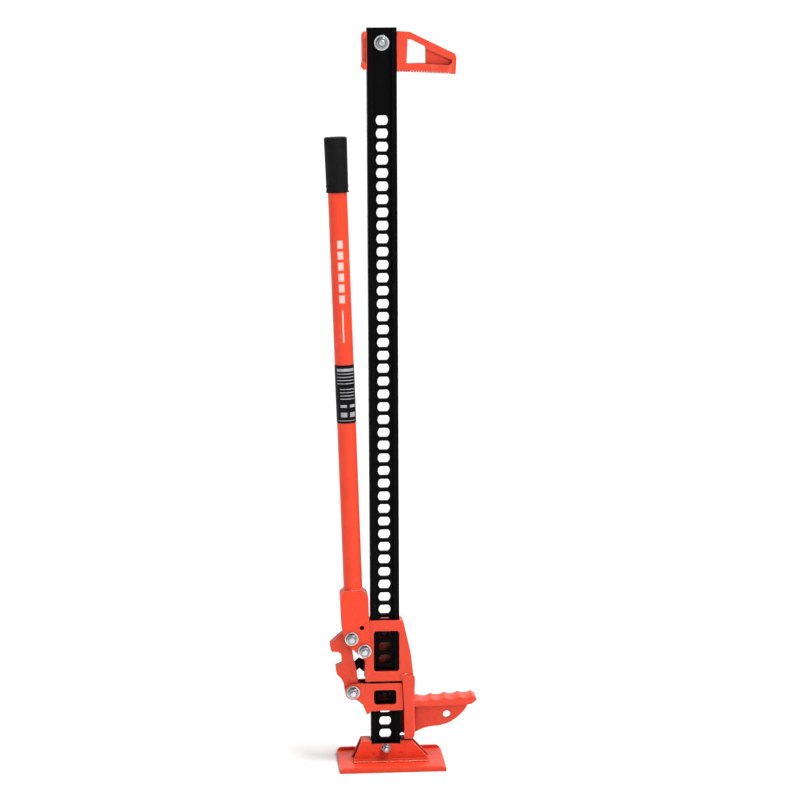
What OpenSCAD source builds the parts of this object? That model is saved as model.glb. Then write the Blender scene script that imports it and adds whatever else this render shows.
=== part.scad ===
// Toe jack: a rack bar on a folded base, a carriage with a lifting toe that climbs it,
// and a long handle that drives a small runner through a pitman link.
// +X points along the lifting toe, -Y is the front, +Z is up, and the ground is at Z = 0.
// Lengths are in millimetres.

/* [Rack bar] */
// length of the rack bar
bar_length = 1226; // [1200:1:1240]
// width of the bar over its two flanges
bar_width = 48.4; // [47.6:0.2:48.4]
// front-to-back depth of the flanges
bar_depth = 22; // [21:0.5:22]
// flange thickness
flange_t = 8; // [7:0.5:8]
// web thickness
web_t = 8; // [7:0.5:8]
// distance between climbing holes
hole_pitch = 21.5; // [21.3:0.1:21.5]
// number of climbing holes
hole_count = 49; // [46:1:50]
// height of the lowest climbing hole
first_hole_z = 49.5; // [49:0.5:50]
// width of a climbing hole
hole_w = 20; // [18:0.5:21]
// height of a climbing hole
hole_h = 15.5; // [15:0.5:16]

/* [Base] */
// length of the base plate
plate_l = 178; // [170:1:190]
// front-to-back depth of the base plate
plate_d = 126; // [110:1:128]
// thickness of the base plate
plate_t = 5; // [4:0.5:5]
// height of the bent-up edges
lip_h = 9.5; // [8:0.5:12]
// height of the base socket's top face
socket_top_z = 40; // [38:0.5:42]

/* [Top clamp] */
// height of the clamp bolt
clamp_bolt_z = 1206.3; // [1195:0.1:1210]
// reach of the toothed nose from the bar's axis
nose_reach = 121.5; // [115:0.5:130]
// thickness of the nose
nose_t = 20; // [16:1:22]

/* [Runners and toe] */
// outer half depth of both runners
runner_y = 18; // [17:0.5:18]
// height of the large runner's top edge
runner_top_z = 248; // [240:1:250]
// height of the lifting toe's tip
toe_tip_z = 117.2; // [115.4:0.2:120]
// width of the toe's top plate
toe_plate_w = 38; // [34:1:42]
// diameter of the hole in the toe
toe_hole_d = 13; // [10:0.5:14]
// number of hollows along the toe's top
scallops = 4; // [2:1:4]

/* [Climbing pins] */
// diameter of both climbing pins
pin_d = 13; // [12:0.5:13]
// height of the upper pin
upper_pin_z = 221.5; // [221.5]
// height of the lower pin
lower_pin_z = 114; // [114]

/* [Handle] */
// outside diameter of the handle tube
tube_d = 31.8; // [30:0.1:31.8]
// wall of the handle tube
tube_wall = 2.5; // [2:0.1:4]
// length of the rubber grip
grip_l = 90; // [80:1:120]
// diameter of the bolts and pivots
bolt_d = 10; // [10]

/* [Hidden] */
$fn = 64;
red = [0.90, 0.25, 0.16];
black = [0.06, 0.06, 0.07];
zinc = [0.78, 0.79, 0.81];
spring_grey = [0.45, 0.46, 0.48];
rubber_black = [0.08, 0.08, 0.08];

bar_z = plate_t;
half_w = bar_width / 2;
half_d = bar_depth / 2;
in_x = 24.6;
in_y = 11.75;
base_bolt_z = 27.5;
fit = 0.05;
loose = 0.3;

pivot_b = [-35.3, 198.2];
crank = 21.5;
pivot_a = pivot_b + [-crank, crank];
pivot_c = [-54.8, 126];
latch_at = [-12, 166];
lobe_r = 12;
link_lobe_r = 13.4;

cheek_in = 18.4;
cheek_out = 22.4;
washer_d = 22.5;
clamp_washer_d = 24.6;
washer_t = 2.5;
nut_af = 16;
nut_h = 8.4;
base_bolt_d = 8;
base_nut_af = 13;
base_nut_h = 7;
base_washer_d = 15.5;
tail = 3;

lean = 1.782;
tube_foot = [-51.5, 264];
tube_l = 785;
grip_from = 701;
label_from = 320;
label_l = 97;

boss_d = 27;
boss_end = 50;
cap_t = 4;
latch_y = 33.5;
latch_t = 4;

// a flat outline in X and Z, given depth from y0 to y1
module slab(y0, y1) {
    translate([0, y1, 0])
        rotate([90, 0, 0])
            linear_extrude(y1 - y0)
                children();
}

// the same outline at the front and at the back
module both_sides(y0, y1) {
    slab(y0, y1) children();
    slab(-y1, -y0) children();
}

// a round bar along Y
module rod_y(at, d, y0, y1) {
    translate([at[0], y1, at[1]])
        rotate([90, 0, 0])
            cylinder(d = d, h = y1 - y0);
}

module block(x0, x1, y0, y1, z0, z1) {
    translate([x0, y0, z0])
        cube([x1 - x0, y1 - y0, z1 - z0]);
}

module dot(at, r) {
    translate(at)
        circle(r = r);
}

// flat rectangle with round corners
module round_rect(x0, x1, z0, z1, r) {
    translate([x0 + r, z0])
        square([x1 - x0 - 2 * r, z1 - z0]);
    translate([x0, z0 + r])
        square([x1 - x0, z1 - z0 - 2 * r]);
    for (x = [x0 + r, x1 - r])
        for (z = [z0 + r, z1 - r])
            dot([x, z], r);
}

// straight band between two points, as wide as twice r
module band(p, q, r) {
    along = (q - p) / norm(q - p);
    out = [-along[1], along[0]] * r;
    polygon([p + out, q + out, q - out, p - out]);
}

// ---- fasteners ----

module hex_blank(h, crown, af) {
    across = af / cos(30);
    intersection() {
        cylinder(d = across, h = h, $fn = 6);
        rotate_extrude()
            polygon([
                [0, 0], [across / 2, 0], [across / 2, h - crown],
                [across / 2 - 1.7, h], [0, h]
            ]);
    }
}

// bolt along Y: the head seats at head_y at the rear and the shank ends at tip_y in front
module rear_head_bolt(at, head_y, tip_y, d = bolt_d, af = nut_af) {
    rod_y(at, d, tip_y + 1, head_y + 1);
    translate([at[0], tip_y, at[1]])
        rotate([-90, 0, 0])
            cylinder(d1 = d - 2, d2 = d, h = 1);
    translate([at[0], head_y, at[1]])
        rotate([-90, 0, 0])
            hex_blank(d * 0.62, 1.2, af);
}

// nut whose inner face is at y and whose crown faces the front
module front_nut(at, y, d = bolt_d, af = nut_af, h = nut_h) {
    difference() {
        translate([at[0], y, at[1]])
            rotate([90, 0, 0])
                hex_blank(h, 1.2, af);
        rod_y(at, d + 2 * fit, y - h - 1, y + 1);
    }
}

module washer(at, y0, d, bore = bolt_d) {
    difference() {
        rod_y(at, d, y0, y0 + washer_t);
        rod_y(at, bore + 2 * loose, y0 - 1, y0 + washer_t + 1);
    }
}

// ---- frame ----

module bar_outline() {
    fillet = 1.5;
    inner_x = half_w - flange_t;
    inner_y = web_t / 2;
    polygon([
        [-half_w, -half_d], [-inner_x, -half_d], [-inner_x, -inner_y - fillet],
        [-inner_x + fillet, -inner_y], [inner_x - fillet, -inner_y],
        [inner_x, -inner_y - fillet], [inner_x, -half_d], [half_w, -half_d],
        [half_w, half_d], [inner_x, half_d], [inner_x, inner_y + fillet],
        [inner_x - fillet, inner_y], [-inner_x + fillet, inner_y],
        [-inner_x, inner_y + fillet], [-inner_x, half_d], [-half_w, half_d]
    ]);
}

module rack_bar() {
    color(black)
        difference() {
            translate([0, 0, bar_z])
                linear_extrude(bar_length)
                    bar_outline();
            slab(-web_t, web_t)
                for (k = [0 : hole_count - 1])
                    translate([0, first_hole_z + k * hole_pitch])
                        intersection() {
                            circle(d = hole_w);
                            square([hole_w + 2, hole_h], center = true);
                        }
            rod_y([0, base_bolt_z], base_bolt_d + 2 * loose, -web_t, web_t);
            rod_y([0, clamp_bolt_z], bolt_d + 2 * loose, -web_t, web_t);
        }
}

plate_x = 9.3;
plate_y = -4.6;

module base_plate() {
    x0 = plate_x - plate_l / 2;
    x1 = plate_x + plate_l / 2;
    lip_t = 5;
    corner = lip_h - 0.5;
    color(red)
        translate([0, plate_y, 0]) {
            block(x0, x1, -plate_d / 2 + lip_t, plate_d / 2 - lip_t, 0, plate_t);
            both_sides(plate_d / 2 - lip_t, plate_d / 2)
                union() {
                    translate([x0, 0])
                        square([plate_l, 0.5]);
                    translate([x0 + corner, 0])
                        square([plate_l - 2 * corner, lip_h]);
                    for (x = [x0 + corner, x1 - corner])
                        intersection() {
                            dot([x, 0.5], corner);
                            translate([x - corner, 0])
                                square([2 * corner, lip_h]);
                        }
                }
        }
}

module base_socket() {
    wall_in = 12;
    wall_out = 17;
    foot_z = 9.5;
    notch_z = 34.3;
    color(red)
        difference() {
            union() {
                both_sides(wall_in, wall_out)
                    polygon([
                        [-54, plate_t], [71.5, plate_t], [71.5, foot_z], [43, socket_top_z],
                        [-41, socket_top_z], [-54, foot_z]
                    ]);
                block(-41, 43, -wall_out, wall_out, socket_top_z - 4, socket_top_z);
                for (step = [[25, 7.2, 1.6], [21, 9.4, 0.6]])
                    both_sides(wall_in, step[0])
                        translate([-54 - step[2], plate_t])
                            square([125.5 + 2 * step[2], step[1] - plate_t]);
            }
            block(-in_x, in_x, -in_y, in_y, 0, socket_top_z + 1);
            // both walls are notched lower in front of the bar and behind it
            block(-in_x, in_x, -wall_out - 1, wall_out + 1, notch_z, socket_top_z + 1);
            rod_y([0, base_bolt_z], base_bolt_d + 2 * loose, -30, 30);
            rod_y([-21, 17], 6, -wall_out - 1, -wall_out + 0.8);
            rod_y([25, 18], 6, -wall_out - 1, -wall_out + 0.8);
        }
}

module base_bolt() {
    color(zinc)
        rear_head_bolt(
            [0, base_bolt_z], 17 + washer_t, -17 - washer_t - base_nut_h - tail,
            base_bolt_d, base_nut_af
        );
}

module base_washer_front() {
    color(zinc)
        washer([0, base_bolt_z], -17 - washer_t, base_washer_d, base_bolt_d);
}

module base_washer_rear() {
    color(zinc)
        washer([0, base_bolt_z], 17, base_washer_d, base_bolt_d);
}

module base_nut() {
    color(zinc)
        front_nut([0, base_bolt_z], -17 - washer_t, base_bolt_d, base_nut_af, base_nut_h);
}

clamp_back = 17.5;

// heights in here are measured from the clamp bolt
module top_clamp() {
    tip_x = nose_reach;
    tooth_pitch = 4.4;
    fall = 4.5 / 94.5;
    color(red)
        translate([0, 0, clamp_bolt_z])
            difference() {
                union() {
                    // plate behind the bar, wrapped round its left flange
                    slab(half_d + 0.4, clamp_back)
                        polygon([
                            [-31.5, -38], [-28, -43], [27, -46.5], [45.5, -47],
                            [45.5, 17.7], [-27, 18.7], [-31.5, 13.2]
                        ]);
                    slab(-half_d, half_d + 0.4)
                        polygon([
                            [-34, -37.5], [-30, -43], [-half_w - 0.2, -43],
                            [-half_w - 0.2, 18.7], [-28.5, 18.7], [-32.6, 13.7], [-32, -30]
                        ]);
                    slab(-half_d, half_d + 0.4)
                        polygon([
                            [half_w + 0.2, -46.4], [42, -47], [42, 17.8], [half_w + 0.2, 18.7]
                        ]);
                    slab(-nose_t / 2, nose_t / 2)
                        polygon([
                            [27, -46.5], [tip_x - 1.5, -51], [tip_x, -23.8],
                            [tip_x - 2.5, -17.8], [45.5, 17.7], [27, 18.7]
                        ]);
                    // boss that bears on the web
                    rod_y([0, 0], 25, web_t / 2, half_d + 1);
                }
                // the eye
                slab(-30, 30)
                    polygon([
                        [40, -33], [71.3, -32.5], [71.4, -6.5], [47, 5.8], [42, 5.2]
                    ]);
                // pockets that leave a thin floor and start at the eye's edge
                both_sides(3, 30)
                    polygon([
                        [71, -34.5], [108, -37], [113.5, -33], [114.5, -28], [71, -9.2]
                    ]);
                // teeth
                slab(-30, 30)
                    for (k = [0 : 18]) {
                        x = 30 + k * tooth_pitch;
                        low = -46.5 - fall * (x - 27);
                        polygon([
                            [x - 1.5, low - 4], [x + 1.5, low - 4], [x + 1.5, low],
                            [x + 0.8, low + 3.4], [x - 0.8, low + 3.4], [x - 1.5, low]
                        ]);
                    }
                // hollow in the left strap's edge
                slab(-half_d - 1, -half_d + 2.5)
                    polygon([
                        [-31, -28], [-25.6, -32], [-25.6, 8], [-31.4, 5]
                    ]);
                rod_y([0, 0], bolt_d + 2 * loose, -30, 30);
            }
}

module clamp_bolt() {
    color(zinc)
        rear_head_bolt(
            [0, clamp_bolt_z], clamp_back + washer_t, -web_t / 2 - washer_t - nut_h - tail
        );
}

module clamp_washer_front() {
    color(zinc)
        washer([0, clamp_bolt_z], -web_t / 2 - washer_t, clamp_washer_d);
}

module clamp_washer_rear() {
    color(zinc)
        washer([0, clamp_bolt_z], clamp_back, clamp_washer_d);
}

module clamp_nut() {
    color(zinc)
        front_nut([0, clamp_bolt_z], -web_t / 2 - washer_t);
}

// ---- climbing pins, the same set for both runners ----

module pin_boss(z) {
    rod_y([0, z], boss_d, runner_y - 1, boss_end);
}

module pin_bore(z) {
    rod_y([0, z], pin_d + 2 * fit, 0, boss_end + 1);
    rod_y([0, z], 21, 26, boss_end + 1);
}

module climbing_pin(z) {
    nose = 5;
    collar = 36.3;
    rod_y([0, z], pin_d, nose + 1.5, collar);
    translate([0, nose, z])
        rotate([-90, 0, 0])
            cylinder(d1 = pin_d - 3, d2 = pin_d, h = 1.5);
    rod_y([0, z], 19, collar, 39);
    difference() {
        rod_y([0, z], 8, 39, 74);
        translate([0, 69, z])
            rotate([0, 90, 0])
                cylinder(d = 4.1, h = 20, center = true);
    }
}

module cross_pin(z) {
    translate([0, 69, z])
        rotate([0, 90, 0])
            cylinder(d = 4, h = 28, center = true);
}

module pin_cap(z) {
    difference() {
        union() {
            rod_y([0, z], boss_d, boss_end, boss_end + cap_t);
            rod_y([0, z], 14, boss_end + cap_t, boss_end + cap_t + 2.5);
        }
        rod_y([0, z], 8.6, boss_end - 1, boss_end + cap_t + 4);
    }
}

module pin_spring(z) {
    difference() {
        rod_y([0, z], 17, 39.2, boss_end - 0.1);
        rod_y([0, z], 10, 38, boss_end + 1);
    }
}

// ---- large runner and toe ----

module runner_face() {
    polygon([
        [-34, 144], [47.5, 144], [47, 154], [43, 191], [30.7, runner_top_z - 2],
        [24.3, runner_top_z], [-26, runner_top_z], [-30.5, runner_top_z - 6],
        [-34, 236], [-34, 209]
    ]);
}

module large_runner() {
    color(red)
        difference() {
            union() {
                difference() {
                    slab(-runner_y, runner_y)
                        runner_face();
                    block(-in_x, in_x, -in_y, in_y, 140, 260);
                    block(-60, -30.5, -in_y, in_y, 140, 260);
                }
                both_sides(in_y, runner_y) {
                    dot(pivot_b, lobe_r);
                    polygon([[-41.8, 188.3], [-30, 176], [-30, 218.5], [-41.8, 208.1]]);
                }
                pin_boss(upper_pin_z);
                rod_y(latch_at, 18, runner_y - 1, 22);
            }
            // front window
            slab(-runner_y - 1, -in_y + 1)
                round_rect(-19.6, 23.3, 160.5, 230.5, 5);
            // the rear wall stops lower than the front wall
            block(-22, 22, in_y - 1, runner_y + 1, 245.3, 260);
            pin_bore(upper_pin_z);
            rod_y(pivot_b, bolt_d + 2 * loose, -30, 30);
            rod_y(latch_at, 10 + 2 * fit, in_y - 1, 30);
            // relief in the solid right edge, open to the rear
            slab(-8, 30)
                polygon([
                    [29.5, 152], [41.5, 152], [38, 190], [29.5, 222]
                ]);
        }
}

toe_x0 = 28;
toe_x1 = 49.3;

// the crest rises gently outwards and carries the row of hollows
module toe_top_outline() {
    crest = 109.9;
    slope = 0.057;
    first_x = 65.5;
    step = 23.3;
    dip = 2.7;
    dip_r = 20;
    difference() {
        polygon([
            [toe_x1 - 1, 99], [141, 100.5], [145, 101.2], [149.5, 104.6], [153.7, 108.6],
            [153.7, 110.4], [144.8, toe_tip_z], [143, toe_tip_z], [135, crest + slope * 88],
            [toe_x1 - 1, crest]
        ]);
        for (k = [0 : scallops - 1])
            dot([
                first_x + step * k,
                crest + slope * (first_x + step * k - toe_x1) + dip_r - dip
            ], dip_r);
    }
}

module lifting_toe() {
    strap_y = 21;
    edge_r = 5;
    color(red)
        difference() {
            union() {
                // column beside the bar, with round outer edges
                translate([0, 0, 44])
                    linear_extrude(99.9) {
                        translate([toe_x0, -strap_y])
                            square([toe_x1 - toe_x0 - edge_r, 2 * strap_y]);
                        translate([toe_x0, edge_r - strap_y])
                            square([toe_x1 - toe_x0, 2 * (strap_y - edge_r)]);
                        for (side = [-1, 1])
                            dot([toe_x1 - edge_r, side * (strap_y - edge_r)], edge_r);
                    }
                // guide that closes the rear of the gap beside the bar
                block(18, toe_x0 + 1, 18.4, strap_y, 42.6, 143.9);
                both_sides(runner_y + 0.02, strap_y)
                    round_rect(toe_x0, toe_x1, 130, 154.5, 5);
                slab(-toe_plate_w / 2, toe_plate_w / 2)
                    toe_top_outline();
                slab(-5, 5)
                    polygon([
                        [toe_x1 - 1, 49.5], [50.3, 50.6], [60, 55.4], [68.9, 58.7],
                        [80, 60.3], [90.9, 61.1], [102, 63.8], [110.2, 67], [121.2, 74.2],
                        [132.3, 84.7], [139.5, 95.5], [143, 101.2], [toe_x1 - 1, 100]
                    ]);
            }
            // channels in the column, open to the bar and to the toe
            block(toe_x0 - 1, 34, -15, 15, 40, 150);
            for (side = [-1, 1])
                block(38, toe_x1 + 1, min(side * 6, side * 15), max(side * 6, side * 15), 52, 94);
            // the edge towards the bar draws back below the runner, short of the rear guide
            slab(-30, 18.2)
                polygon([[toe_x0 - 1, 143], [toe_x0 + 0.3, 143], [31, 100], [31, 40], [toe_x0 - 1, 40]]);
            // slanted lower corner of both ribs
            both_sides(10, 30)
                polygon([[43.7, 40], [52, 40], [52, 62.3]]);
            rod_y([104.3, 80.2], toe_hole_d, -10, 10);
        }
}

module pivot_bolt() {
    color(zinc)
        rear_head_bolt(pivot_b, cheek_out + 0.2 + washer_t, -cheek_out - 0.2 - washer_t - nut_h - tail);
}

module pivot_washer_front() {
    color(zinc)
        washer(pivot_b, -cheek_out - 0.2 - washer_t, washer_d);
}

module pivot_washer_rear() {
    color(zinc)
        washer(pivot_b, cheek_out + 0.2, washer_d);
}

module pivot_nut() {
    color(zinc)
        front_nut(pivot_b, -cheek_out - 0.2 - washer_t);
}

module upper_pin_cap() {
    color(zinc)
        pin_cap(upper_pin_z);
}

module upper_pin_spring() {
    color(spring_grey)
        pin_spring(upper_pin_z);
}

module upper_climbing_pin() {
    color(zinc)
        climbing_pin(upper_pin_z);
}

module upper_cross_pin() {
    color(zinc)
        cross_pin(upper_pin_z);
}

// ---- reversing latch ----

module latch_stud() {
    color(zinc) {
        rod_y(latch_at, 10, in_y + 0.5, latch_y + latch_t + 0.5);
        rod_y(latch_at, 17, latch_y + latch_t + 0.3, latch_y + latch_t + 3.5);
    }
}

module latch_spring() {
    color(spring_grey)
        difference() {
            rod_y(latch_at, 17, 22.3, latch_y - 0.4);
            rod_y(latch_at, 12, 20, latch_y + 1);
        }
}

module reversing_latch() {
    color(black)
        difference() {
            slab(latch_y, latch_y + latch_t) {
                dot(latch_at, 11);
                polygon([
                    [-9, 156], [-6, 173], [-33, 168.5], [-41.5, 172.5], [-51, 164.5],
                    [-50.5, 158], [-48.3, 147.3], [-41, 154], [-34.8, 148], [-29, 150]
                ]);
            }
            rod_y(latch_at, 10 + 2 * fit, latch_y - 1, latch_y + latch_t + 1);
        }
}

// ---- handle ----

module along_handle() {
    translate([tube_foot[0], 0, tube_foot[1]])
        rotate([0, -lean, 0])
            children();
}

module cheek_outline() {
    dot(pivot_a, lobe_r);
    dot(pivot_b, lobe_r);
    band(pivot_a, pivot_b, lobe_r - 0.1);
    polygon([
        [-74.8, 293], [-74.6, 280], [-71.7, 231], [-70.2, 220.9], [-56.8, 215.5],
        [-35.3, 191.5], [-22.6, 195.4], [-26.5, 217], [-28, 287], [-29.3, 294.3],
        [-36.2, 299.6], [-68.6, 299.6]
    ]);
}

module handle_socket() {
    bend_z = 287;
    tube_side = 17.6;
    color(red)
        difference() {
            union() {
                both_sides(cheek_in, cheek_out)
                    cheek_outline();
                slab(-cheek_in - 1, cheek_in + 1)
                    polygon([
                        [-74.8, 293], [-73.4, 264], [-27.5, 264], [-28, 287], [-29.3, 294.3],
                        [-36.2, 299.6], [-68.6, 299.6]
                    ]);
            }
            // both faces lean in towards the tube
            for (side = [-1, 1])
                translate([-90, 0, 0])
                    rotate([90, 0, 90])
                        linear_extrude(80)
                            polygon([
                                [side * cheek_out, bend_z], [side * (cheek_out + 2), bend_z],
                                [side * (cheek_out + 2), 301], [side * tube_side, 301],
                                [side * tube_side, 299.5]
                            ]);
            along_handle()
                translate([0, 0, 0.5])
                    cylinder(d = tube_d + 0.1, h = 60);
            rod_y(pivot_a, bolt_d + 2 * fit, -30, 30);
            rod_y(pivot_b, bolt_d + 2 * fit, -30, 30);
            rod_y([-39.4, 237.6], 8, -30, 30);
        }
}

module handle_tube() {
    color(red)
        along_handle()
            translate([0, 0, 0.6])
                difference() {
                    cylinder(d = tube_d, h = tube_l);
                    translate([0, 0, -1])
                        cylinder(d = tube_d - 2 * tube_wall, h = tube_l + 2);
                }
}

module handle_grip() {
    color(rubber_black)
        along_handle()
            translate([0, 0, grip_from])
                difference() {
                    union() {
                        cylinder(d1 = 36, d2 = 38, h = grip_l - 1.8);
                        translate([0, 0, grip_l - 1.8])
                            cylinder(d1 = 38, d2 = 34.6, h = 1.8);
                        for (z = [0, 9])
                            translate([0, 0, z])
                                cylinder(d = 37.4, h = 2);
                    }
                    translate([0, 0, -1])
                        cylinder(d = tube_d + 0.06, h = tube_l + 1.8 - grip_from);
                }
}

module handle_label() {
    color(black)
        along_handle()
            translate([0, 0, label_from])
                difference() {
                    cylinder(d = tube_d + 0.9, h = label_l);
                    translate([0, 0, -1])
                        cylinder(d = tube_d + 0.04, h = label_l + 2);
                }
}

module crank_bolt() {
    color(zinc)
        rear_head_bolt(pivot_a, cheek_out + washer_t, -cheek_out - washer_t - nut_h - tail);
}

module crank_washer_front() {
    color(zinc)
        washer(pivot_a, -cheek_out - washer_t, washer_d);
}

module crank_washer_rear() {
    color(zinc)
        washer(pivot_a, cheek_out, washer_d);
}

module crank_nut() {
    color(zinc)
        front_nut(pivot_a, -cheek_out - washer_t);
}

// ---- pitman ----

// the lower eye is a short slot, because the small runner keeps to a straight line
module pitman() {
    half = 10;
    slot_reach = 9.4;
    slot_r = bolt_d / 2 + 1.1;
    color(red)
        difference() {
            union() {
                slab(-half, half) {
                    polygon([
                        [-72.5, 226], [-93, 208.5], [-92.6, 205], [-91, 196.5], [-89, 194.6],
                        [-80, 194.4], [-75.6, 192], [-73, 187], [-73.2, 173], [-83.6, 168.8],
                        [-82.9, 160.5], [-81, 154.8], [-74.8, 149], [-71.4, 142.5],
                        [-68.6, 132.5], [-67.2, 126], [-46, 126], [-46, 148], [-48, 161.5],
                        [-52.4, 178.6], [-55, 196.4], [-50, 210], [-52, 229]
                    ]);
                    dot(pivot_a, lobe_r);
                }
                slab(-in_y + 0.4, in_y - 0.4) {
                    dot(pivot_c, 12.6);
                    translate([pivot_c[0], pivot_c[1] - 12])
                        square([slot_reach + 1, 24]);
                    dot(pivot_c + [slot_reach, 0], 12);
                }
                rod_y(pivot_a, 18, -cheek_in + 0.3, cheek_in - 0.3);
            }
            rod_y(pivot_a, bolt_d + 2 * fit, -30, 30);
            slab(-30, 30) {
                dot(pivot_c + [-0.4, 0], slot_r);
                translate([pivot_c[0] - 0.4, pivot_c[1] - slot_r])
                    square([slot_reach + 0.8, 2 * slot_r]);
                dot(pivot_c + [slot_reach + 0.4, 0], slot_r);
            }
        }
}

// ---- small runner ----

module small_runner_face() {
    polygon([
        [28.1, 140], [30.2, 96], [28.4, 93.3], [-24, 92.5], [-28, 88.5], [-32, 87],
        [-34.5, 94], [-39, 104], [-46.6, 111], [-52, 114], [-60, 126], [-55.2, 139.4], [-40, 140]
    ]);
    dot(pivot_c, link_lobe_r);
}

module small_runner() {
    color(red)
        difference() {
            union() {
                difference() {
                    slab(-runner_y, runner_y)
                        small_runner_face();
                    block(-in_x, in_x, -in_y, in_y, 80, 150);
                    block(-80, -30.5, -in_y, in_y, 80, 150);
                }
                pin_boss(lower_pin_z);
            }
            slab(-runner_y - 1, -in_y + 1)
                round_rect(-19.7, 18, 103, 128.7, 5);
            pin_bore(lower_pin_z);
            rod_y(pivot_c, bolt_d + 2 * loose, -30, 30);
        }
}

module link_bolt() {
    color(zinc)
        rear_head_bolt(pivot_c, runner_y + washer_t, -runner_y - washer_t - nut_h - tail);
}

module link_washer_front() {
    color(zinc)
        washer(pivot_c, -runner_y - washer_t, washer_d);
}

module link_washer_rear() {
    color(zinc)
        washer(pivot_c, runner_y, washer_d);
}

module link_nut() {
    color(zinc)
        front_nut(pivot_c, -runner_y - washer_t);
}

module lower_pin_cap() {
    color(zinc)
        pin_cap(lower_pin_z);
}

module lower_pin_spring() {
    color(spring_grey)
        pin_spring(lower_pin_z);
}

module lower_climbing_pin() {
    color(zinc)
        climbing_pin(lower_pin_z);
}

module lower_cross_pin() {
    color(zinc)
        cross_pin(lower_pin_z);
}

rack_bar();
base_plate();
base_socket();
base_bolt();
base_washer_front();
base_washer_rear();
base_nut();
top_clamp();
clamp_bolt();
clamp_washer_front();
clamp_washer_rear();
clamp_nut();
large_runner();
lifting_toe();
pivot_bolt();
pivot_washer_front();
pivot_washer_rear();
pivot_nut();
upper_pin_cap();
upper_pin_spring();
upper_climbing_pin();
upper_cross_pin();
latch_stud();
latch_spring();
reversing_latch();
handle_socket();
handle_tube();
handle_grip();
handle_label();
crank_bolt();
crank_washer_front();
crank_washer_rear();
crank_nut();
pitman();
small_runner();
link_bolt();
link_washer_front();
link_washer_rear();
link_nut();
lower_pin_cap();
lower_pin_spring();
lower_climbing_pin();
lower_cross_pin();
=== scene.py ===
import math

import bpy
from mathutils import Matrix, Vector


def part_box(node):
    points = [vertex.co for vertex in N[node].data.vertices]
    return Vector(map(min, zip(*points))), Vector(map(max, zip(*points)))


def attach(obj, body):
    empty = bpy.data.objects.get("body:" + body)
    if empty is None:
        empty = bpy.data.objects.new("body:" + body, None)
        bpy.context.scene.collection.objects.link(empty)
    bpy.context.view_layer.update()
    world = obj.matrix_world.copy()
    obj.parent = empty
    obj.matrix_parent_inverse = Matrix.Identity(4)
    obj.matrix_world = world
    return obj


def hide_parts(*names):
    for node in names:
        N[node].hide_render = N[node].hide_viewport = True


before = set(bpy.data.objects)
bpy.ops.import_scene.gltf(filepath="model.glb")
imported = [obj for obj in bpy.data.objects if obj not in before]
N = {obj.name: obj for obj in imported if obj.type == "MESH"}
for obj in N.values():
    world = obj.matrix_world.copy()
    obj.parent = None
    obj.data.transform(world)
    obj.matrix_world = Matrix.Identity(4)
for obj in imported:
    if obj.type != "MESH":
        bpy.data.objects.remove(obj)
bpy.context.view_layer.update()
scene = bpy.context.scene
MM = 0.001
SHADER_RAYS = 6


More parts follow.
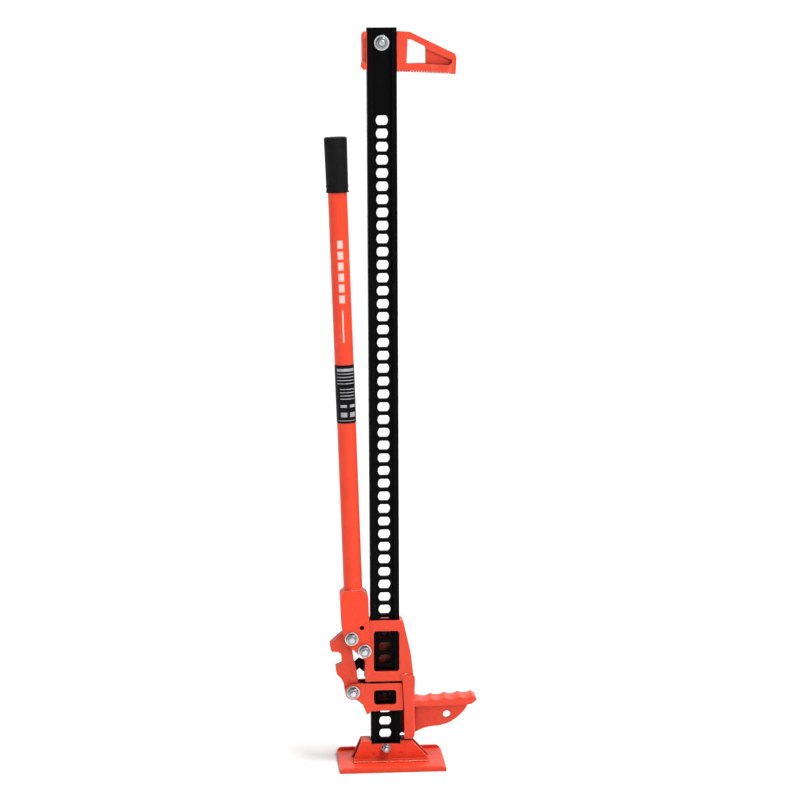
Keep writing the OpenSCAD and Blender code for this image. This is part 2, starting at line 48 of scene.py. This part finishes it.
# ---------------------------------------------------------------- shader helpers
class Mat:
    """A node material with short helpers."""

    def __init__(self, name):
        self.m = bpy.data.materials.new(name)
        self.m.use_nodes = True
        self.t = self.m.node_tree
        self.t.nodes.clear()
        self.out = self.t.nodes.new("ShaderNodeOutputMaterial")
        self.bsdf = self.t.nodes.new("ShaderNodeBsdfPrincipled")
        self.t.links.new(self.bsdf.outputs[0], self.out.inputs[0])
        self.tc = self.t.nodes.new("ShaderNodeTexCoord")
        self.obj = self.tc.outputs["Object"]

    def link(self, a, b):
        self.t.links.new(a, b)

    def put(self, socket, v):
        if isinstance(v, bpy.types.NodeSocket):
            self.link(v, socket)
        else:
            socket.default_value = v

    def noise(self, scale, detail=3.0, rough=0.5, vec=None):
        n = self.t.nodes.new("ShaderNodeTexNoise")
        self.link(vec or self.obj, n.inputs["Vector"])
        n.inputs["Scale"].default_value = scale
        n.inputs["Detail"].default_value = detail
        n.inputs["Roughness"].default_value = rough
        return n.outputs[0]

    def voronoi(self, scale):
        n = self.t.nodes.new("ShaderNodeTexVoronoi")
        self.link(self.obj, n.inputs["Vector"])
        n.inputs["Scale"].default_value = scale
        return n.outputs[0]

    def ramp(self, x, a, b, lo=0.0, hi=1.0):
        """lo below a, hi above b, and a smooth rise between them."""
        n = self.t.nodes.new("ShaderNodeMapRange")
        n.interpolation_type = "SMOOTHSTEP"
        self.put(n.inputs["Value"], x)
        n.inputs["From Min"].default_value = a
        n.inputs["From Max"].default_value = b
        n.inputs["To Min"].default_value = lo
        n.inputs["To Max"].default_value = hi
        return n.outputs[0]

    def math(self, op, a, b=0.0):
        n = self.t.nodes.new("ShaderNodeMath")
        n.operation = op
        for s, v in zip(n.inputs, (a, b)):
            self.put(s, v)
        return n.outputs[0]

    def mix(self, f, a, b):
        n = self.t.nodes.new("ShaderNodeMix")
        n.data_type = "RGBA"
        self.put(n.inputs[0], f)
        for s, v in ((n.inputs[6], a), (n.inputs[7], b)):
            self.put(s, v if isinstance(v, bpy.types.NodeSocket) else (*v, 1.0))
        return n.outputs[2]

    def xyz(self):
        n = self.t.nodes.new("ShaderNodeSeparateXYZ")
        self.link(self.obj, n.inputs[0])
        return n.outputs

    def stretched(self, sx, sy, sz):
        n = self.t.nodes.new("ShaderNodeMapping")
        self.link(self.obj, n.inputs["Vector"])
        n.inputs["Scale"].default_value = (sx, sy, sz)
        return n.outputs[0]

    def edge(self, radius, lo, hi):
        """1 on the sharp outer and inner edges, 0 on the faces, and the rounded normal."""
        b = self.t.nodes.new("ShaderNodeBevel")
        b.samples = SHADER_RAYS
        b.inputs["Radius"].default_value = radius
        g = self.t.nodes.new("ShaderNodeNewGeometry")
        d = self.t.nodes.new("ShaderNodeVectorMath")
        d.operation = "DOT_PRODUCT"
        self.link(b.outputs[0], d.inputs[0])
        self.link(g.outputs["Normal"], d.inputs[1])
        return self.ramp(self.math("SUBTRACT", 1.0, d.outputs["Value"]), lo, hi), b.outputs[0]

    def crevice(self, distance):
        """0 deep in a gap or corner, 1 in the open."""
        a = self.t.nodes.new("ShaderNodeAmbientOcclusion")
        a.samples = SHADER_RAYS
        a.inputs["Distance"].default_value = distance
        return a.outputs["AO"]

    def along_handle(self, foot, lean, radius):
        """Distance round the tube from its front line, and distance along it from its foot."""
        m = Matrix.Rotation(lean, 4, "Y") @ Matrix.Translation(-foot)
        n = self.t.nodes.new("ShaderNodeMapping")
        n.vector_type = "POINT"
        self.link(self.obj, n.inputs["Vector"])
        n.inputs["Rotation"].default_value = m.to_euler()
        n.inputs["Location"].default_value = m.to_translation()
        sep = self.t.nodes.new("ShaderNodeSeparateXYZ")
        self.link(n.outputs[0], sep.inputs[0])
        ang = self.math("ARCTAN2", sep.outputs[0], self.math("MULTIPLY", sep.outputs[1], -1.0))
        return self.math("MULTIPLY", ang, radius), sep.outputs[2]

    def patch(self, z, u, z0, z1, u0, u1):
        """1 inside a rectangle given in millimetres, 0 outside."""
        inside = []
        for value, low, high in ((z, z0, z1), (u, u0, u1)):
            above = self.math("GREATER_THAN", value, low * MM)
            below = self.math("LESS_THAN", value, high * MM)
            inside.append(self.math("MULTIPLY", above, below))
        return self.math("MULTIPLY", *inside)

    def bump(self, height, strength, distance, normal=None):
        n = self.t.nodes.new("ShaderNodeBump")
        n.inputs["Strength"].default_value = strength
        n.inputs["Distance"].default_value = distance
        self.link(height, n.inputs["Height"])
        if normal is not None:
            self.link(normal, n.inputs["Normal"])
        return n.outputs[0]

    def done(self, color, rough, metal=0.0, normal=None, coat=0.0, coat_rough=0.1, spec=0.5):
        s = self.bsdf.inputs
        self.put(s["Base Color"], color if isinstance(color, bpy.types.NodeSocket) else (*color, 1))
        self.put(s["Roughness"], rough)
        self.put(s["Metallic"], metal)
        s["Coat Weight"].default_value = coat
        s["Coat Roughness"].default_value = coat_rough
        s["Specular IOR Level"].default_value = spec
        if normal is not None:
            self.link(normal, s["Normal"])
            self.link(normal, s["Coat Normal"])
        return self.m


# ---------------------------------------------------------------- materials
# linear colours of the red powder coat
CAST_RED = ((0.72, 0.050, 0.019), (0.81, 0.066, 0.028))
SHEET_RED = ((0.78, 0.046, 0.014), (0.88, 0.062, 0.020))
DULL_RED = (0.60, 0.024, 0.010)
RUBBED_RED = (0.88, 0.21, 0.14)
# painted highlight colour for the sharp edges
EDGE_HIGHLIGHT_RED = (1.0, 0.19, 0.12)
# painted glint colour for the weld
GLINT = (1.0, 0.50, 0.40)
PRIMER = (0.20, 0.19, 0.19)
PALE_BAR = (0.86, 0.66, 0.60)
# shade in gaps: reach in metres, where it starts and ends, its share and its colour
GAPS = (
    (0.045, 0.14, 0.46, 0.95, (0.022, 0.002, 0.002)),
    (0.014, 0.25, 0.85, 0.60, (0.26, 0.014, 0.007)),
    (0.003, 0.15, 0.65, 0.65, (0.08, 0.008, 0.006)),
)

# the handle tube in metres: its foot, its lean, the radii of tube and label, and where the label starts
FOOT = Vector((-0.0515, 0.0, 0.264))
LEAN = math.radians(1.782)
TUBE_R = 0.0159
LABEL_R = 0.0163
LABEL_FROM = 0.320

# plain pale bars on the tube: start and end along it and half width, in millimetres
TUBE_BARS = [(455, 508, 1.2)] + [(z0, z0 + 13, 4.6) for z0 in range(520, 611, 18)]
# plain rules on the label: lower and upper edge from its foot, then left and right edge, in millimetres
LABEL_RULES = [(86.6, 91.4, -15, 17)]
LABEL_RULES += [(z0, z0 + 1.2, -15, 17) for z0 in (82.0, 76.6, 71.2, 65.8)]
LABEL_RULES += [(z0, z0 + 1.2, -10, 17) for z0 in (56.4, 51.0, 45.6, 40.2)]
LABEL_RULES += [(z0, z1, u0, u1) for z0, z1 in ((26.6, 31.0), (10.4, 18.2)) for u0, u1 in ((-10, 1), (6, 17))]
LABEL_RULES += [(4.0, 5.0, -15, 17)]


def red_paint(name, cast, gloss=0.0, decal=False):
    """Orange-red powder coat. Castings carry a coarser skin than the drawn tube and the folded steel."""
    k = Mat(name)
    edge, rounded = k.edge(0.0022 if cast else 0.0013, 0.02, 0.22)
    cloud = k.noise(9, 4, 0.55)
    fine = k.noise(160, 3, 0.6)
    base = k.mix(cloud, *(CAST_RED if cast else SHEET_RED))
    base = k.mix(k.ramp(fine, 0.52, 0.75, 0, 0.30), base, DULL_RED)
    # pale rubbed streaks where loads and hands have passed
    streak = k.ramp(k.noise(38, 6, 0.72, k.stretched(1, 1, 0.45)), 0.58, 0.78, 0, 0.55 if cast else 0.26)
    base = k.mix(streak, base, RUBBED_RED)
    # painted shade where faces meet, with a darker painted line in the tightest corners
    for reach, start, end, share, shade in GAPS:
        base = k.mix(k.ramp(k.crevice(reach), start, end, share, 0.0), base, shade)
    if decal:
        # plain pale bars along the tube, rubbed through in places
        u, z = k.along_handle(FOOT, LEAN, TUBE_R)
        bars = 0.0
        for z0, z1, half in TUBE_BARS:
            bars = k.math("MAXIMUM", bars, k.patch(z, u, z0, z1, -half, half))
        bars = k.math("MULTIPLY", bars, k.ramp(k.noise(420, 4, 0.7), 0.30, 0.46, 0.35, 0.85))
        base = k.mix(bars, base, PALE_BAR)
    if gloss:
        # painted glints on the glossy weld
        base = k.mix(k.ramp(k.noise(340, 3, 0.6), 0.50, 0.66, 0, 0.55), base, GLINT)
    # painted highlight on the sharp edges, and a few chips down to primer
    base = k.mix(k.math("MULTIPLY", edge, 0.55), base, EDGE_HIGHLIGHT_RED)
    chip = k.math("MULTIPLY", edge, k.ramp(k.noise(240, 4, 0.7), 0.59, 0.65))
    base = k.mix(k.math("MULTIPLY", chip, 0.7), base, PRIMER)
    peel = k.noise(520 if cast else 900, 2, 0.5)
    skin = k.noise(150, 5, 0.65)
    grain = k.ramp(k.voronoi(330), 0.0, 0.5)
    h = k.math("ADD", k.math("MULTIPLY", peel, 0.55), k.math("MULTIPLY", skin, 1.5 if cast else 0.35))
    h = k.math("ADD", h, k.math("MULTIPLY", grain, 0.45 if cast else 0.0))
    normal = k.bump(h, 0.55 if cast else 0.20, 0.0006, rounded)
    rough = k.ramp(k.noise(45, 4, 0.6), 0.3, 0.7, 0.34 - gloss * 0.2, 0.48 - gloss * 0.2)
    rough = k.math("ADD", rough, k.math("MULTIPLY", chip, 0.2))
    return k.done(base, rough, 0.0, normal, coat=0.08 + gloss, coat_rough=0.2 - gloss * 0.1, spec=0.22)


def black_paint(name, level, rough_lo, rough_hi):
    k = Mat(name)
    edge, rounded = k.edge(0.0012, 0.02, 0.2)
    scuff = k.noise(60, 6, 0.7, k.stretched(1, 1, 0.12))
    base = k.mix(k.noise(14, 4, 0.6), (level, level, level * 1.15), (level * 2, level * 2, level * 2.3))
    base = k.mix(k.ramp(scuff, 0.60, 0.78, 0, 0.22), base, (0.022, 0.022, 0.026))
    wear = k.math("MULTIPLY", edge, k.ramp(k.noise(150, 5, 0.7), 0.52, 0.68))
    # painted highlight on the sharp edges
    base = k.mix(k.math("MULTIPLY", edge, 0.12), base, (0.10, 0.10, 0.11))
    base = k.mix(k.math("MULTIPLY", wear, 0.35), base, (0.20, 0.20, 0.21))
    h = k.math("ADD", k.noise(700, 2, 0.5), k.math("MULTIPLY", k.noise(90, 4, 0.6), 0.5))
    normal = k.bump(h, 0.22, 0.0004, rounded)
    rough = k.ramp(scuff, 0.35, 0.7, rough_lo, rough_hi)
    return k.done(base, rough, k.math("MULTIPLY", wear, 0.4), normal, spec=0.045)


ZINC_SHADES = ((0.46, 0.475, 0.50), (0.70, 0.71, 0.73))
THREAD_GROOVE = 1.5


def zinc(name, centre=None, shank_r=5.0, tone=1.0):
    """Bright zinc plating. With a centre, the shank of a bolt that runs along Y there shows a fine thread."""
    k = Mat(name)
    edge, rounded = k.edge(0.0007, 0.02, 0.2)
    low, high = ([v * tone for v in shade] for shade in ZINC_SHADES)
    base = k.mix(k.noise(70, 4, 0.6), low, high)
    base = k.mix(k.ramp(k.noise(35, 3, 0.6), 0.55, 0.8, 0, 0.35), base, (0.62, 0.59, 0.50))
    # painted shade in the recesses
    base = k.mix(k.ramp(k.crevice(0.004), 0.45, 0.95, 0.9, 0.0), base, (0.05, 0.05, 0.055))
    # painted highlight on the sharp edges
    base = k.mix(k.math("MULTIPLY", edge, 0.5), base, (0.90, 0.91, 0.92))
    normal = k.bump(k.noise(420, 4, 0.6, k.stretched(1, 0.3, 1)), 0.16, 0.0003, rounded)
    if centre:
        s = k.xyz()
        dx = k.math("SUBTRACT", s[0], centre[0] * MM)
        dz = k.math("SUBTRACT", s[2], centre[1] * MM)
        r = k.math("SQRT", k.math("ADD", k.math("MULTIPLY", dx, dx), k.math("MULTIPLY", dz, dz)))
        within = k.ramp(r, (shank_r + 0.10) * MM, (shank_r + 0.15) * MM, 1, 0)
        off_axis = k.ramp(r, (shank_r - 0.7) * MM, (shank_r - 0.4) * MM, 0, 1)
        shank = k.math("MULTIPLY", within, off_axis)
        turn = k.math("DIVIDE", k.math("ARCTAN2", dz, dx), 2 * math.pi)
        phase = k.math("FRACT", k.math("ADD", k.math("DIVIDE", s[1], THREAD_GROOVE * MM), turn))
        tri = k.math("ABSOLUTE", k.math("SUBTRACT", phase, 0.5))
        normal = k.bump(k.math("MULTIPLY", tri, shank), 1.0, 0.0011, normal)
        # painted shade in the roots of the thread
        base = k.mix(k.math("MULTIPLY", shank, k.ramp(tri, 0.0, 0.25, 0.6, 0.0)), base, (0.10, 0.10, 0.10))
    rough = k.ramp(k.noise(110, 4, 0.6), 0.3, 0.75, 0.20, 0.40)
    return k.done(base, rough, 1.0, normal)


def dark_steel(name, lo, hi):
    """Oiled black-oxide steel with bright rubbed edges."""
    k = Mat(name)
    edge, rounded = k.edge(0.0006, 0.02, 0.2)
    base = k.mix(k.noise(90, 5, 0.6), (lo, lo, lo * 1.05), (hi, hi, hi * 1.05))
    rub = k.math("MULTIPLY", edge, k.ramp(k.noise(300, 4, 0.7), 0.42, 0.6))
    base = k.mix(k.math("MULTIPLY", rub, 0.6), base, (0.34, 0.34, 0.35))
    base = k.mix(k.ramp(k.noise(30, 4, 0.6), 0.58, 0.8, 0, 0.3), base, (0.06, 0.035, 0.022))
    normal = k.bump(k.noise(520, 4, 0.6, k.stretched(1, 0.25, 1)), 0.14, 0.0003, rounded)
    return k.done(base, k.ramp(k.noise(120, 4, 0.6), 0.3, 0.7, 0.30, 0.46), 0.85, normal, spec=0.3)


def rubber(name):
    k = Mat(name)
    _, rounded = k.edge(0.0012, 0.02, 0.2)
    base = k.mix(k.noise(30, 5, 0.6), (0.0020, 0.0020, 0.0023), (0.0060, 0.0060, 0.0066))
    dust = k.ramp(k.noise(220, 5, 0.7), 0.58, 0.8, 0, 0.35)
    base = k.mix(dust, base, (0.018, 0.0175, 0.017))
    h = k.math("ADD", k.voronoi(900), k.math("MULTIPLY", k.noise(1500, 2, 0.5), 0.5))
    normal = k.bump(h, 0.35, 0.0003, rounded)
    return k.done(base, k.ramp(k.noise(80, 4, 0.6), 0.3, 0.7, 0.55, 0.75), 0.0, normal, spec=0.13)


def label_film(name):
    """Black film with plain pale rules and blocks."""
    k = Mat(name)
    u, z = k.along_handle(FOOT, LEAN, LABEL_R)
    z = k.math("SUBTRACT", z, LABEL_FROM)
    ink = 0.0
    for rule in LABEL_RULES:
        ink = k.math("MAXIMUM", ink, k.patch(z, u, *rule))
    ink = k.math("MULTIPLY", ink, k.ramp(k.noise(60, 3, 0.6), 0.3, 0.7, 0.62, 0.9))
    base = k.mix(k.noise(50, 3), (0.0015, 0.0015, 0.0025), (0.0035, 0.0035, 0.005))
    base = k.mix(k.math("MULTIPLY", ink, 0.85), base, (0.60, 0.61, 0.64))
    normal = k.bump(k.noise(300, 3), 0.1, 0.0002)
    return k.done(base, k.ramp(k.noise(90, 3), 0.3, 0.7, 0.30, 0.42), 0.0, normal, spec=0.08)


RED_CAST = red_paint("red_cast", True)
RED_SHEET = red_paint("red_sheet", False)
RED_TUBE = red_paint("red_tube", False, decal=True)
RED_WELD = red_paint("red_weld", True, 0.9)
BAR = black_paint("bar_black", 0.0010, 0.36, 0.52)
LATCH = black_paint("latch_black", 0.002, 0.40, 0.55)
ZINC = zinc("zinc_plate", tone=0.60)
WASHER = zinc("zinc_washer", tone=1.28)
PIN = dark_steel("pin_steel", 0.004, 0.012)
SPRING = dark_steel("spring_steel", 0.10, 0.20)
RUBBER = rubber("grip_rubber")
LABEL = label_film("label_film")

# each bolt's place in X and Z, in millimetres
CENTRES = {
    "base_bolt": (0, 27.5), "clamp_bolt": (0, 1206.3), "pivot_bolt": (-35.3, 198.2),
    "crank_bolt": (-56.8, 219.7), "link_bolt": (-54.8, 126),
}
SHANK_R = {n: 4.0 if n == "base_bolt" else 5.0 for n in CENTRES}
BY_NODE = {n: zinc(n + "_zinc", c, SHANK_R[n]) for n, c in CENTRES.items()}
for n in ("base_plate", "base_socket", "handle_socket"):
    BY_NODE[n] = RED_SHEET
BY_NODE["handle_tube"] = RED_TUBE
for n in ("top_clamp", "large_runner", "lifting_toe", "pitman", "small_runner"):
    BY_NODE[n] = RED_CAST
BY_NODE.update(rack_bar=BAR, reversing_latch=LATCH, handle_grip=RUBBER, handle_label=LABEL)
for n in N:
    if "climbing_pin" in n or "cross_pin" in n:
        BY_NODE[n] = PIN
    elif n.endswith("_spring"):
        BY_NODE[n] = SPRING
    elif "_washer_" in n:
        BY_NODE[n] = WASHER
for n, o in N.items():
    o.data.materials.clear()
    o.data.materials.append(BY_NODE.get(n, ZINC))


# ---------------------------------------------------------------- eased edges
# castings and folded steel have no knife edges: bevel width of each node, in millimetres
EASED = {
    "large_runner": 1.3, "small_runner": 1.3, "lifting_toe": 1.3, "pitman": 1.4, "top_clamp": 1.0,
    "handle_socket": 0.9, "base_plate": 1.1, "base_socket": 0.7, "reversing_latch": 0.5, "rack_bar": 0.7,
}
for n, width in EASED.items():
    joined = N[n].modifiers.new("weld", "WELD")
    joined.merge_threshold = 1e-6
    flat = N[n].modifiers.new("flat", "DECIMATE")
    flat.decimate_type = "DISSOLVE"
    flat.angle_limit = math.radians(0.6)
    ease = N[n].modifiers.new("ease", "BEVEL")
    ease.width = width * MM
    ease.segments = 2
    ease.limit_method = "ANGLE"
    ease.angle_limit = math.radians(38)
    ease.miter_outer = "MITER_ARC"


# ---------------------------------------------------------------- added pieces
def mesh_piece(name, verts, faces, material, body):
    me = bpy.data.meshes.new(name)
    me.from_pydata([tuple(v) for v in verts], [], faces)
    me.update()
    for p in me.polygons:
        p.use_smooth = True
    me.materials.append(material)
    o = bpy.data.objects.new(name, me)
    scene.collection.objects.link(o)
    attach(o, body)
    return o


def sweep(path, radius, sides, closed=False):
    """A round bar along a path of points. radius is a number or a function of the point's index."""
    pts = [Vector(p) for p in path]
    n = len(pts)
    verts, faces = [], []
    up = None
    for i, p in enumerate(pts):
        a = pts[(i - 1) % n] if closed or i else p
        b = pts[(i + 1) % n] if closed or i < n - 1 else p
        d = (b - a).normalized()
        if up is None:
            up = d.orthogonal().normalized()
        up = (up - d * up.dot(d)).normalized()
        side = d.cross(up)
        r = radius(i) if callable(radius) else radius
        for k in range(sides):
            t = 2 * math.pi * k / sides
            verts.append(p + up * (math.cos(t) * r) + side * (math.sin(t) * r))
    for i in range(n if closed else n - 1):
        j = (i + 1) % n
        for k in range(sides):
            m = (k + 1) % sides
            faces.append((i * sides + k, i * sides + m, j * sides + m, j * sides + k))
    if not closed:
        faces.append(tuple(reversed(range(sides))))
        faces.append(tuple((n - 1) * sides + k for k in range(sides)))
    return verts, faces


def round_y(centre, radius, angle, y):
    """A point on a circle about an axis along Y, given in millimetres."""
    cx, cz = centre
    return ((cx + radius * math.cos(angle)) * MM, y * MM, (cz + radius * math.sin(angle)) * MM)


COIL_STEPS = 28
END_TURN = 0.75
UPPER_PIN, LOWER_PIN, LATCH_STUD = (0, 221.5), (0, 114), (-12, 166)


def coil(name, node, centre, y0, y1, mean_r, wire_r, turns, body):
    """A wound spring along Y, with closed ends, in place of its plain sleeve."""
    path = []
    steps = int(turns * COIL_STEPS)
    for i in range(steps + 1):
        f = i / steps
        t = f * turns
        lead = min(max((t - END_TURN) / (turns - 2 * END_TURN), 0), 1)
        y = y0 + wire_r + (y1 - y0 - 2 * wire_r) * lead
        path.append(round_y(centre, mean_r, t * 2 * math.pi, y))
    verts, faces = sweep(path, wire_r * MM, 12)
    o = mesh_piece(name, verts, faces, SPRING, body)
    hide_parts(node)


# start and end along Y, mean radius, wire radius in millimetres, and turns
coil("upper_coil", "upper_pin_spring", UPPER_PIN, 39.3, 49.8, 7.0, 1.2, 4.2, "carriage")
coil("lower_coil", "lower_pin_spring", LOWER_PIN, 39.3, 49.8, 7.0, 1.2, 4.2, "climbing_runner")
coil("latch_coil", "latch_spring", LATCH_STUD, 22.4, 33.0, 7.2, 1.1, 4.6, "carriage")

PUDDLE = 1.9 * MM
BEAD_STEP = 0.7 * MM
BEAD_TIP = 0.6 * MM
BEAD_TAPER = 2.0 * MM


def weld(name, path, r, body, closed=False):
    """A weld bead: a round bar whose thickness ripples with each puddle."""
    pts = [Vector(p) for p in path]
    dense, dist = [], [0.0]
    total = len(pts) if closed else len(pts) - 1
    for i in range(total):
        a, b = pts[i], pts[(i + 1) % len(pts)]
        steps = max(2, int((b - a).length / BEAD_STEP))
        for s in range(steps):
            dense.append(a.lerp(b, s / steps))
    if not closed:
        dense.append(pts[-1])
    for i in range(1, len(dense)):
        dist.append(dist[-1] + (dense[i] - dense[i - 1]).length)

    def width(i):
        t = dist[i] / PUDDLE
        end = 1.0 if closed else min(1.0, (min(dist[i], dist[-1] - dist[i]) + BEAD_TIP) / BEAD_TAPER)
        return r * MM * end * (0.86 + 0.20 * abs(math.sin(math.pi * t)) + 0.05 * math.sin(1.7 * t))

    verts, faces = sweep(dense, width, 8, closed)
    mesh_piece(name, verts, faces, RED_WELD, body)


def on_handle(x, y, z):
    """A point given in the handle's own axes, from the foot of the tube."""
    c, s = math.cos(-LEAN), math.sin(-LEAN)
    return Vector((FOOT.x + (x * c + z * s) * MM, y * MM, FOOT.z + (-x * s + z * c) * MM))


# round the tube where it enters the socket
RING_POINTS = 48
RING_R = TUBE_R / MM
RING_Z = 35.6
ring = []
for i in range(RING_POINTS):
    t = 2 * math.pi * i / RING_POINTS
    ring.append(on_handle(RING_R * math.cos(t), RING_R * math.sin(t), RING_Z + 0.6 * math.cos(t)))
weld("weld_tube", ring, 1.9, "handle", True)
# along both feet of the base socket, and round the top of the toe's ribs
for side, tag in ((-1, "front"), (1, "rear")):
    y = side * 0.0252
    weld("weld_foot_" + tag, [(-0.0545, y, 0.0058), (0.0725, y, 0.0058)], 1.7, "frame")
    y = side * 0.0186
    path = [
        (0.0272, y, 0.1446), (0.0272, y, 0.1505), (0.0290, y, 0.1542), (0.0330, y, 0.1556),
        (0.0430, y, 0.1556),
    ]
    weld("weld_rib_" + tag, path, 1.5, "carriage")

# the turns of thread that stand out of each nut, in millimetres
THREAD_TURNS = 2.2
THREAD_PITCH = 1.35
THREAD_R = 0.40
THREAD_START = 0.9
THREAD_SINK = 0.16
TURN_POINTS = 30
for n, body in (
    ("base_bolt", "frame"), ("clamp_bolt", "frame"), ("pivot_bolt", "carriage"),
    ("crank_bolt", "handle"), ("link_bolt", "climbing_runner"),
):
    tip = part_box(n)[0][1] / MM
    path = []
    for i in range(int(THREAD_TURNS * TURN_POINTS) + 1):
        y = tip + THREAD_START + THREAD_PITCH * i / TURN_POINTS
        path.append(round_y(CENTRES[n], SHANK_R[n] - THREAD_SINK, 2 * math.pi * i / TURN_POINTS, y))
    verts, faces = sweep(path, THREAD_R * MM, 8)
    mesh_piece("thread_" + n, verts, faces, BY_NODE[n], body)

# ---------------------------------------------------------------- stage, light and camera
floor_mat = Mat("floor")
floor_shade = floor_mat.mix(floor_mat.noise(3, 3), (0.90, 0.90, 0.90), (0.93, 0.93, 0.93))
floor_mat.done(floor_shade, 0.85, spec=0.0)
bpy.ops.mesh.primitive_plane_add(size=4000, location=(0, 0, 0))
floor = bpy.context.object
floor.name = "floor"
floor.data.materials.append(floor_mat.m)

# the studio is white behind the object, and grey on the camera's side and on the left
world = bpy.data.worlds.new("studio")
scene.world = world
world.use_nodes = True
wt = world.node_tree
direction = wt.nodes.new("ShaderNodeTexCoord")
parts = wt.nodes.new("ShaderNodeSeparateXYZ")
wt.links.new(direction.outputs["Generated"], parts.inputs[0])
# axis, where it is dark and where light, and the strength at both
FADES = ((1, -0.7, 0.5, 0.25, 0.85), (0, -0.9, 0.1, 0.5, 1.0))
faded = []
for axis, dark_at, light_at, low, high in FADES:
    fade = wt.nodes.new("ShaderNodeMapRange")
    fade.interpolation_type = "SMOOTHSTEP"
    fade.inputs["From Min"].default_value = dark_at
    fade.inputs["From Max"].default_value = light_at
    fade.inputs["To Min"].default_value = low
    fade.inputs["To Max"].default_value = high
    wt.links.new(parts.outputs[axis], fade.inputs["Value"])
    faded.append(fade.outputs[0])
both = wt.nodes.new("ShaderNodeMath")
both.operation = "MULTIPLY"
wt.links.new(faded[0], both.inputs[0])
wt.links.new(faded[1], both.inputs[1])
backdrop = wt.nodes["Background"]
backdrop.inputs["Color"].default_value = (1.0, 1.0, 1.0, 1)
wt.links.new(both.outputs[0], backdrop.inputs["Strength"])


def softbox(name, place, target, size, watts, size_y=None):
    lamp = bpy.data.lights.new(name, "AREA")
    lamp.shape = "RECTANGLE"
    lamp.size = size
    lamp.size_y = size_y or size
    lamp.energy = watts
    o = bpy.data.objects.new(name, lamp)
    scene.collection.objects.link(o)
    o.location = place
    o.rotation_mode = "QUATERNION"
    o.rotation_quaternion = (Vector(target) - Vector(place)).to_track_quat("-Z", "Y")


# place and target, width, watts and height
softbox("key", (1.5, -2.8, 2.2), (0, 0, 0.55), 1.0, 38, 1.8)
softbox("fill", (-2.4, -2.2, 1.4), (0, 0, 0.5), 0.8, 9, 1.8)
softbox("back", (1.4, 2.4, 2.2), (0, 0, 0.7), 1.6, 20)

sun = bpy.data.lights.new("ceiling", "SUN")
sun.energy = 2.5
sun.angle = math.radians(30)
sun_object = bpy.data.objects.new("ceiling", sun)
scene.collection.objects.link(sun_object)
sun_object.rotation_euler = (math.radians(12), math.radians(24), 0)

# the camera's bearing, distance and height, its turns, and its focal length in picture widths
AZ, DIST, HEIGHT = math.radians(-3.90085771), 4.16894153, 1.28222148
PITCH, YAW, ROLL = math.radians(9.03128875), math.radians(-0.379640357), math.radians(-0.256779093)
FOCAL = 2546.05891 / 800.0
SENSOR = 36.0
cam_data = bpy.data.cameras.new("camera")
cam = bpy.data.objects.new("camera", cam_data)
scene.collection.objects.link(cam)
bearing = AZ + YAW
forward = Vector((
    -math.sin(bearing) * math.cos(PITCH), math.cos(bearing) * math.cos(PITCH), -math.sin(PITCH)
))
right = forward.cross(Vector((0, 0, 1))).normalized()
upward = right.cross(forward)
rolled_right = right * math.cos(ROLL) + upward * math.sin(ROLL)
rolled_up = -right * math.sin(ROLL) + upward * math.cos(ROLL)
turn = Matrix((rolled_right, rolled_up, -forward)).transposed()
cam.matrix_world = Matrix.Translation((math.sin(AZ) * DIST, -math.cos(AZ) * DIST, HEIGHT)) @ turn.to_4x4()
cam_data.sensor_width = SENSOR
cam_data.lens = SENSOR * FOCAL
cam_data.clip_start = 0.05
cam_data.clip_end = 4000
cam_data.dof.use_dof = False
scene.camera = cam

scene.view_settings.view_transform = "Standard"
scene.view_settings.look = "None"
scene.view_settings.exposure = 0.0
